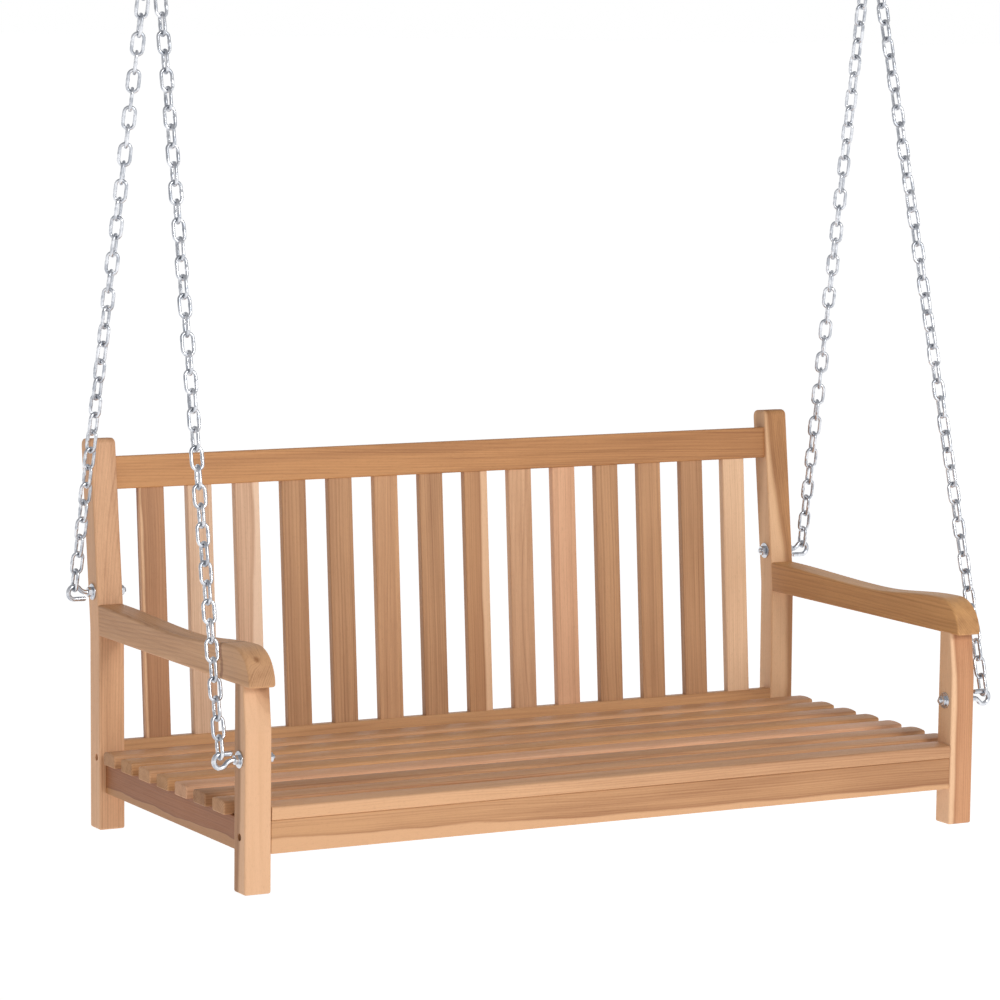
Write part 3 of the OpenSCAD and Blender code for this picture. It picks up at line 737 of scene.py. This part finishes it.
def front_leg(side, name):
    outline = rounded([(0, 0, 3.2), (LEG_D, 0, 3.2), (LEG_D, ARM_Z + 3, 0),
                       (KINK_SET + 0.4, ARM_Z + 3, 0), (0, KINK_Z, 40)])
    part = slab(outline, side * LEG_X - LEG_W / 2, side * LEG_X + LEG_W / 2, 3)
    return board(name, part, ACROSS, GRAIN_UP, (side * LEG_X, LEG_D / 2, ARM_Z / 2),
                 leg_bores(side))


def back_post(side, name):
    """A post is the meeting of its side view and its front view, so its top is round both ways."""
    length = (POST_H - POST_BEND_Z) / math.cos(POST_RAKE)
    outline = rounded([(POST_FOOT_Y, 0, 3.2), (POST_FOOT_Y + POST_D, 0, 3.2),
                       (*raked(0, POST_D), 150), (*raked(length, POST_D), POST_ROUND),
                       (*raked(length, 0), POST_ROUND), (*raked(0, 0), 150)], 6)
    x0, x1 = side * LEG_X - LEG_W / 2, side * LEG_X + LEG_W / 2
    verts, faces = slab(outline, x0, x1, 3)
    shaped = []
    for y, z, x in verts:                     # the two upper side corners are rounded as well
        d = x - side * LEG_X
        reach = abs(d) - (LEG_W / 2 - TOP_CORNER)
        if z > POST_H - TOP_CORNER and reach > 0:
            keep = math.sqrt(max(0.0, TOP_CORNER ** 2 - reach ** 2))
            z = min(z, POST_H - TOP_CORNER + keep)
        shaped.append((y, z, x))
    return board(name, (shaped, faces), ACROSS, GRAIN_UP,
                 (side * LEG_X, POST_FOOT_Y + POST_D / 2, POST_BEND_Z),
                 post_bores(side))


def ease(t):
    return (1 - math.cos(math.pi * t)) / 2


def arm_top(y):
    """Height of an arm's S-curved top."""
    if y < ARM_DIP_Y:
        return ARM_DIP_Z + (ARM_Z + NOSE_R - ARM_DIP_Z) * ease(
            (ARM_DIP_Y - y) / (ARM_DIP_Y - NOSE_Y))
    return ARM_DIP_Z + (ARM_BACK_Z - ARM_DIP_Z) * ease(
        (y - ARM_DIP_Y) / (post_front(ARM_BACK_Z) - ARM_DIP_Y))


def armrest(side, name):
    into = 3
    back_y = post_front(ARM_BACK_Z) + into
    corners = [(NOSE_Y - NOSE_R, ARM_Z, 4.5), (post_front(ARM_Z) + into, ARM_Z, 0),
               (back_y, arm_top(back_y - into), 0)]
    steps = 26
    corners += [(y, arm_top(y), 0) for y in (back_y + (NOSE_Y - back_y) * i / steps
                                             for i in range(1, steps + 1))]
    corners += [(NOSE_Y + NOSE_R * math.cos(a), ARM_Z + NOSE_R * math.sin(a), 0)
                for a in (math.radians(90 + 5 * i) for i in range(1, 17))]
    part = slab(rounded(corners), side * LEG_X - LEG_W / 2, side * LEG_X + LEG_W / 2, 4, 5)
    return board(name, part, ACROSS, GRAIN_BACK, (side * LEG_X, 250, ARM_Z + 22))


def rail(name, z0):
    part = slab(rectangle(0, RAIL_T, z0, z0 + RAIL_H, 2), -INNER_X - 1, INNER_X + 1, 0.5, 2)
    centre = PANEL @ Vector((0, RAIL_T / 2, z0 + RAIL_H / 2))
    grain = Matrix.Rotation(-PANEL_TILT, 4, "X")
    return board(name, part, PANEL @ ACROSS, grain, centre)


def back_slat(i):
    name = f"back_slat_{i}"
    x = (i - (BACK_SLATS + 1) / 2) * (2 * INNER_X + BACK_SLAT_W) / (BACK_SLATS + 1)
    w, y = BACK_SLAT_W / 2, BACK_SLAT_IN
    part = slab(rectangle(x - w, x + w, y, y + BACK_SLAT_T, 2), -1, SLAT_LEN + 1, 0.5, 2)
    centre = PANEL @ Vector((x, y + BACK_SLAT_T / 2, SLAT_LEN / 2))
    grain = Matrix.Rotation(-PANEL_TILT, 4, "X") @ GRAIN_UP
    return board(name, part, PANEL, grain, centre)


def slat_y(k):
    return 0 if k == 1 else (k - 1) * SLAT_PITCH + SLAT_SET


def seat_slat(i):
    name = f"seat_slat_{i}"
    y0 = slat_y(i)
    w = FRONT_SLAT_W if i == 1 else SLAT_W
    half = INNER_X - 0.5 if i == 1 else HALF_W + SLAT_REACH
    crown_r = ((w / 2) ** 2 + SLAT_CROWN ** 2) / (2 * SLAT_CROWN)
    corners = [(y0, SEAT_Z, 2.6), (y0 + w, SEAT_Z, 2.6), (y0 + w, SEAT_Z + SLAT_EDGE, 3.4)]
    for k in range(1, 8):
        d = w / 2 - w * k / 8
        top = SEAT_Z + SLAT_EDGE + SLAT_CROWN - crown_r + math.sqrt(crown_r ** 2 - d ** 2)
        corners.append((y0 + w / 2 + d, top, 0))
    corners.append((y0, SEAT_Z + SLAT_EDGE, 3.4))
    part = slab(rounded(corners), -half, half, 1.2 if i == 1 else 2.4, 4)
    return board(name, part, ACROSS, GRAIN_ALONG, (0, y0 + w / 2, SEAT_Z + 10))


def seat_bores(x):
    """The access holes under one line of seat screws."""
    return [((x, slat_y(k) + SLAT_W / 2, APRON_Z), (0, 0, 1), SEAT_SCREW_BORE)
            for k in range(2, SEAT_SLATS + 1)]


def side_rail(side, name):
    corners = [(LEG_D - 1, APRON_Z, 2), (post_front(APRON_Z) + 1, APRON_Z, 2),
               (post_front(SEAT_Z) + 1, SEAT_Z, 1.6), (LEG_D - 1, SEAT_Z, 1.6)]
    x = side * SIDE_RAIL_X
    part = slab(rounded(corners), x - SIDE_RAIL_T / 2, x + SIDE_RAIL_T / 2, 1.5, 3)
    return board(name, part, ACROSS, GRAIN_BACK, (x, MIDDLE_Y, (APRON_Z + SEAT_Z) / 2),
                 seat_bores(x))


def front_apron():
    y0, y1 = APRON_Y, APRON_Y + APRON_T
    part = slab(rectangle(y0, y1, APRON_Z, SEAT_Z, 2), -INNER_X, INNER_X, 1.8, 3)
    bores = [((x, (y0 + y1) / 2, APRON_Z), (0, 0, 1), SEAT_SCREW_BORE)
             for x in (-APRON_SCREW_X, 0, APRON_SCREW_X)]
    return board("front_apron", part, ACROSS, GRAIN_ALONG,
                 (0, (y0 + y1) / 2, (APRON_Z + SEAT_Z) / 2), bores)


def centre_bearer():
    rear = [PANEL_Y + (z - PANEL_Z) * math.tan(PANEL_TILT) + 1 for z in (APRON_Z, SEAT_Z)]
    front = APRON_Y + APRON_T - 1
    corners = [(front, APRON_Z, 1.6), (rear[0], APRON_Z, 1.6), (rear[1], SEAT_Z, 1.6),
               (front, SEAT_Z, 1.6)]
    part = slab(rounded(corners), -BEARER_W / 2, BEARER_W / 2, 1.5, 3)
    return board("centre_bearer", part, ACROSS, GRAIN_BACK,
                 (0, MIDDLE_Y, (APRON_Z + SEAT_Z) / 2), seat_bores(0))


for word, side in (("left", LEFT), ("right", RIGHT)):
    front_leg(side, word + "_front_leg")
    back_post(side, word + "_back_post")
    armrest(side, word + "_armrest")
    side_rail(side, word + "_side_rail")
rail("top_rail", SLAT_LEN)
rail("lower_back_rail", -RAIL_H)
for number in range(1, BACK_SLATS + 1):
    back_slat(number)
for number in range(1, SEAT_SLATS + 1):
    seat_slat(number)
front_apron()
centre_bearer()


# ---------------------------------------------------------------- metalwork of the bench

def metal_piece(name, parts, node, material, more=(), angle=40):
    """A metal piece from parts in the row frame; its own axes are the row frame's."""
    verts, faces = join(parts)
    low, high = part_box(node)
    obj = new_mesh(name, verts, faces, Matrix.Translation((low + high) / 2))
    obj.data.shade_smooth()
    obj.data.set_sharp_from_angle(angle=math.radians(angle))
    return finish_piece(obj, node, material, *more)


def outward(side, y, z):
    """The frame of a bolt: +Z runs out of the bench, from the bench's middle plane."""
    turn = Matrix.Rotation(side * math.pi / 2, 4, "Y")
    return BENCH @ Matrix.Translation((0, y, z)) @ turn


BOLTS = [(side, *eye) for side in (LEFT, RIGHT) for eye in (FRONT_EYE, BACK_EYE)]
NUT_TURNS = [0.2, 0.55, 0.85, 0.35]          # how each pair of nuts came to rest, in radians


def eyebolt(side, y, z, up, name):
    """A bent eye on a threaded shank; its wire's end runs straight back towards the nut."""
    tail = [(EYE_R, 0, EYE_TAIL * k / 5) for k in range(5, 0, -1)]
    path, radii = wire_tip(tail + bent_hook(EYE_R, 0), EYE_WIRE / 2)
    top = 2 * EYE_R
    end = EYE_REACH + LEG_W + WASHER_T + NUT_H + BOLT_PAST_NUT
    path.append((0, 0, top + 2))
    radii.append(EYE_WIRE / 2)
    parts = [tube(path, radii, 18), thread(BOLT_D / 2, BOLT_PITCH, top + 1, end, 0.55)]
    place = (Matrix.Diagonal((-side, 1, 1, 1))
             @ Matrix.Translation((-HALF_W - EYE_REACH, y, z))
             @ Matrix.Rotation(math.pi / 2, 4, "Y")
             @ Matrix.Rotation(0 if up else math.pi, 4, "Z"))
    metal_piece(name + "_wire", [moved(BENCH @ place, p) for p in parts], name, ZINC)


def at_bolts(part, heights):
    """Copies of a part at each bolt, at a height from the bench's middle plane."""
    out = []
    for (side, y, z), turn, height in zip(BOLTS, NUT_TURNS, heights):
        place = outward(side, y, z) @ Matrix.Translation((0, 0, height))
        out.append(moved(place @ Matrix.Rotation(turn, 4, "Z"), part))
    return out


for word, side in (("left", LEFT), ("right", RIGHT)):
    eyebolt(side, *FRONT_EYE, False, word + "_front_eyebolt")
    eyebolt(side, *BACK_EYE, True, word + "_back_eyebolt")
metal_piece("washers_outside", at_bolts(washer(), [HALF_W] * 4), "outer_washers", ZINC)
metal_piece("washers_inside", at_bolts(washer(), [INNER_X - WASHER_T] * 4), "inner_washers", ZINC)
metal_piece("nuts_outside", at_bolts(hex_nut(BOLT_D / 2 - 0.2), [HALF_W + WASHER_T] * 4),
            "outer_nuts", ZINC, angle=28)
metal_piece("nuts_inside", at_bolts(hex_nut(BOLT_D / 2 - 0.2), [INNER_X - WASHER_T - NUT_H] * 4),
            "inner_nuts", ZINC, angle=28)


seat_screws = [moved(aimed((x, slat_y(k) + SLAT_W / 2, APRON_Z + SEAT_SCREW_BORE), (0, 0, 1)),
                     screw(SEAT_SCREW_L))
               for x in (-SIDE_RAIL_X, 0, SIDE_RAIL_X) for k in range(2, SEAT_SLATS + 1)]
seat_screws += [moved(aimed((x, APRON_Y + APRON_T / 2, APRON_Z + SEAT_SCREW_BORE), (0, 0, 1)),
                      screw(SEAT_SCREW_L)) for x in (-APRON_SCREW_X, 0, APRON_SCREW_X)]
metal_piece("seat_screw_set", seat_screws, "seat_screws", SCREW_STEEL)
frame_screws = []
for side in (LEFT, RIGHT):
    for point, direction, depth in leg_bores(side) + post_bores(side):
        length = ARM_SCREW_L if depth == ARM_SCREW_BORE else LEG_SCREW_L
        start = Vector(point) + Vector(direction) * depth
        frame_screws.append(moved(aimed(start, direction), screw(length)))
metal_piece("frame_screw_set", frame_screws, "frame_screws", SCREW_STEEL)


# ---------------------------------------------------------------- chains, rings and hooks

def bump_radii(count, at, reach, r, extra):
    """Wire radii along a closed path, with the swelling of a weld round one point."""
    out = []
    for i in range(count):
        d = min((i - at) % count, (at - i) % count) / reach
        out.append(r + extra * max(0.0, 1 - d * d))
    return out


def link():
    """One welded link, long axis along Z and width along X; its weld is on one long side."""
    r = (LINK_IN_W + LINK_WIRE) / 2
    straight = (LINK_IN_L - LINK_IN_W) / 2
    path = []
    for z in np.linspace(-straight, straight, 11):
        path.append((r, 0, z))
    for a in np.linspace(0, math.pi, 11)[1:-1]:
        path.append((r * math.cos(a), 0, straight + r * math.sin(a)))
    for z in np.linspace(straight, -straight, 5):
        path.append((-r, 0, z))
    for a in np.linspace(math.pi, 2 * math.pi, 11)[1:-1]:
        path.append((r * math.cos(a), 0, -straight + r * math.sin(a)))
    return tube(path, bump_radii(len(path), 5, 2.2, LINK_WIRE / 2, LINK_WELD), 12,
                closed=True)


def loose_parts(node):
    """The vertices of each separate solid of a CAD node, in the row frame, from low to high."""
    bm = bmesh.new()
    bm.from_mesh(frame["nodes"][node].data)
    bmesh.ops.remove_doubles(bm, verts=bm.verts, dist=1e-6)
    seen, parts = set(), []
    for start in bm.verts:
        if start.index in seen:
            continue
        todo, part = [start], []
        seen.add(start.index)
        while todo:
            v = todo.pop()
            part.append(tuple(v.co))
            for e in v.link_edges:
                other = e.other_vert(v)
                if other.index not in seen:
                    seen.add(other.index)
                    todo.append(other)
        parts.append(np.array(part))
    bm.free()
    return sorted(parts, key=lambda p: p[:, 2].mean())


def chain(name):
    """A chain of welded links, each on its CAD link."""
    parts = loose_parts(name)
    middles = [(p.min(0) + p.max(0)) / 2 for p in parts]
    along = Vector(middles[-1] - middles[0]).normalized()
    shape, made, width = link(), [], []
    for k, (p, middle) in enumerate(zip(parts, middles)):
        thin = Vector(np.linalg.svd(p - p.mean(0), full_matrices=False)[2][2])
        thin = (thin - along * thin.dot(along)).normalized()
        if k > 1 and thin.dot(width[k - 2]) < 0:
            thin = -thin
        width.append(thin)
        across = thin.cross(along)
        turn = Matrix((across, thin, along)).transposed().to_4x4()
        made.append(moved(Matrix.Translation(middle) @ turn @ Matrix.Scale(MM, 4), shape))
    metal_piece(name + "_links", made, name, ZINC)


def ring(name):
    """A closed ring of wire with a butt weld, hanging in the plane across the bench."""
    low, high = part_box(name)
    wire = (high.x - low.x) / 2
    r = (high.z - low.z) / 2 - wire
    count = 72
    path = [(0, r * math.cos(a), r * math.sin(a)) for a in
            (2 * math.pi * k / count for k in range(count))]
    part = tube(path, bump_radii(count, 30, 2.4, wire, RING_WELD), 20, closed=True)
    metal_piece(name + "_wire", [moved(Matrix.Translation((low + high) / 2), part)], name, ZINC)


def ceiling_hook(side, name):
    """A screw hook: an open bowl, a collar that meets the ceiling, and a tapered wood thread."""
    low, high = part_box(name)
    path, radii = wire_tip(bent_hook(HOOK_R, HOOK_END), HOOK_WIRE / 2)
    bowl_z = low.z / MM + HOOK_R + HOOK_WIRE / 2
    path.append((0, 0, -bowl_z - HOOK_COLLAR / 2))
    radii.append(HOOK_WIRE / 2)
    collar = [(HOOK_WIRE / 2 - 0.5, -HOOK_COLLAR), (HOOK_COLLAR_R - 1, -HOOK_COLLAR),
              (HOOK_COLLAR_R, -HOOK_COLLAR + 1), (HOOK_COLLAR_R, -0.6), (HOOK_COLLAR_R - 0.6, 0),
              (HOOK_WIRE / 2 - 1, 0)]
    parts = [moved(Matrix.Translation((0, 0, bowl_z)), tube(path, radii, 20)),
             lathe(collar, 48),
             thread(HOOK_WIRE / 2, HOOK_PITCH, -1, HOOK_THREAD + HOOK_TIP, 0.9, HOOK_TIP,
                    per_turn=14)]
    place = (Matrix.Diagonal((-side, 1, 1, 1)) @ Matrix.Translation((HOOK_X, 0, 0))
             @ Matrix.Scale(MM, 4))
    metal_piece(name + "_wire", [moved(place, p) for p in parts], name, HOOK_STEEL)


RING_LOW, RING_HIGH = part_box("left_ring")
HOOK_X = (RING_LOW.x + RING_HIGH.x) / 2
for word, side in (("left", LEFT), ("right", RIGHT)):
    chain(word + "_front_chain")
    chain(word + "_back_chain")
    ring(word + "_ring")
    ceiling_hook(side, word + "_hook")


# ---------------------------------------------------------------- floor, light and camera

def stage_floor(half, drop, material):
    """A pale floor that reaches half metres each way, below the bench's feet."""
    name = "floor"
    mesh = bpy.data.meshes.new(name)
    mesh.from_pydata([(-half, -half, 0), (half, -half, 0), (half, half, 0), (-half, half, 0)],
                     [], [(0, 1, 2, 3)])
    obj = bpy.data.objects.new(name, mesh)
    obj.matrix_world = Matrix.Translation((0, 0, LEG_LOW.z - drop))
    bpy.context.scene.collection.objects.link(obj)
    mesh.materials.append(material)


def floor_material():
    material = bpy.data.materials.new("studio_floor")
    material.use_nodes = True
    tree = material.node_tree
    shader = tree.nodes["Principled BSDF"]
    spot = tree.nodes.new("ShaderNodeTexCoord").outputs["Object"]
    cloud = put(tree, "TexNoise", spot, None, 0.8, 3.0)
    tree.links.new(blend_colour(tree, cloud, (0.80, 0.80, 0.80, 1), (0.84, 0.84, 0.84, 1)),
                   shader.inputs["Base Color"])
    shader.inputs["Roughness"].default_value = 0.9
    shader.inputs["Specular IOR Level"].default_value = 0.1
    shader.inputs["Emission Color"].default_value = (1, 1, 1, 1)
    shader.inputs["Emission Strength"].default_value = 0.6
    return material


stage_floor(200, 0.38, floor_material())

world = bpy.data.worlds.new("studio")
bpy.context.scene.world = world
world.use_nodes = True
sky = world.node_tree
ray = sky.nodes.new("ShaderNodeTexCoord").outputs["Generated"]
height = put(sky, "SeparateXYZ", ray, out=2)
# White behind the bench, which stands out against it, and grey elsewhere and overhead
behind = put(sky, "VectorMath", ray, (0.48, 0.877, 0), operation="DOT_PRODUCT", out=1)
around = ramp(sky, behind, 0.88, 0.5)
low_sky = blend_colour(sky, around, (1, 1, 1, 1), (0.62, 0.62, 0.63, 1))
glow = ramp(sky, height, 0.25, 0.85)
sky.links.new(blend_colour(sky, glow, low_sky, (0.42, 0.42, 0.43, 1)),
              sky.nodes["Background"].inputs["Color"])


def lamp(name, place, target, size, power):
    data = bpy.data.lights.new(name, "AREA")
    data.shape, data.size, data.energy = "DISK", size, power
    obj = bpy.data.objects.new(name, data)
    obj.location = place
    obj.rotation_mode = "QUATERNION"
    obj.rotation_quaternion = (Vector(target) - Vector(place)).to_track_quat("-Z", "Y")
    bpy.context.scene.collection.objects.link(obj)


MIDDLE = BENCH @ Vector((0, 250, 250))
lamp("key", (0.6, -4.6, 0.9), MIDDLE, 1.6, 100)

# The camera, at the place and with the lens that a fit to the bench gave
YAW, PITCH, ROLL = math.radians(28.70), math.radians(6.82), math.radians(0.70)
camera = bpy.data.objects.new("camera", bpy.data.cameras.new("camera"))
camera.data.lens, camera.data.sensor_width = 148.41, 36
forward = Vector((math.sin(YAW) * math.cos(PITCH), math.cos(YAW) * math.cos(PITCH),
                  -math.sin(PITCH)))
right = Vector((math.cos(YAW), -math.sin(YAW), 0))
above = right.cross(forward)
camera_x = right * math.cos(ROLL) + above * math.sin(ROLL)
camera_y = above * math.cos(ROLL) - right * math.sin(ROLL)
camera.matrix_world = Matrix((camera_x, camera_y, -forward)).transposed().to_4x4()
camera.matrix_world.translation = (-2.94474, -5.31251, -0.19802)
camera.data.clip_end = 200
bpy.context.scene.collection.objects.link(camera)
bpy.context.scene.camera = camera
bpy.context.scene.view_settings.view_transform = "Standard"
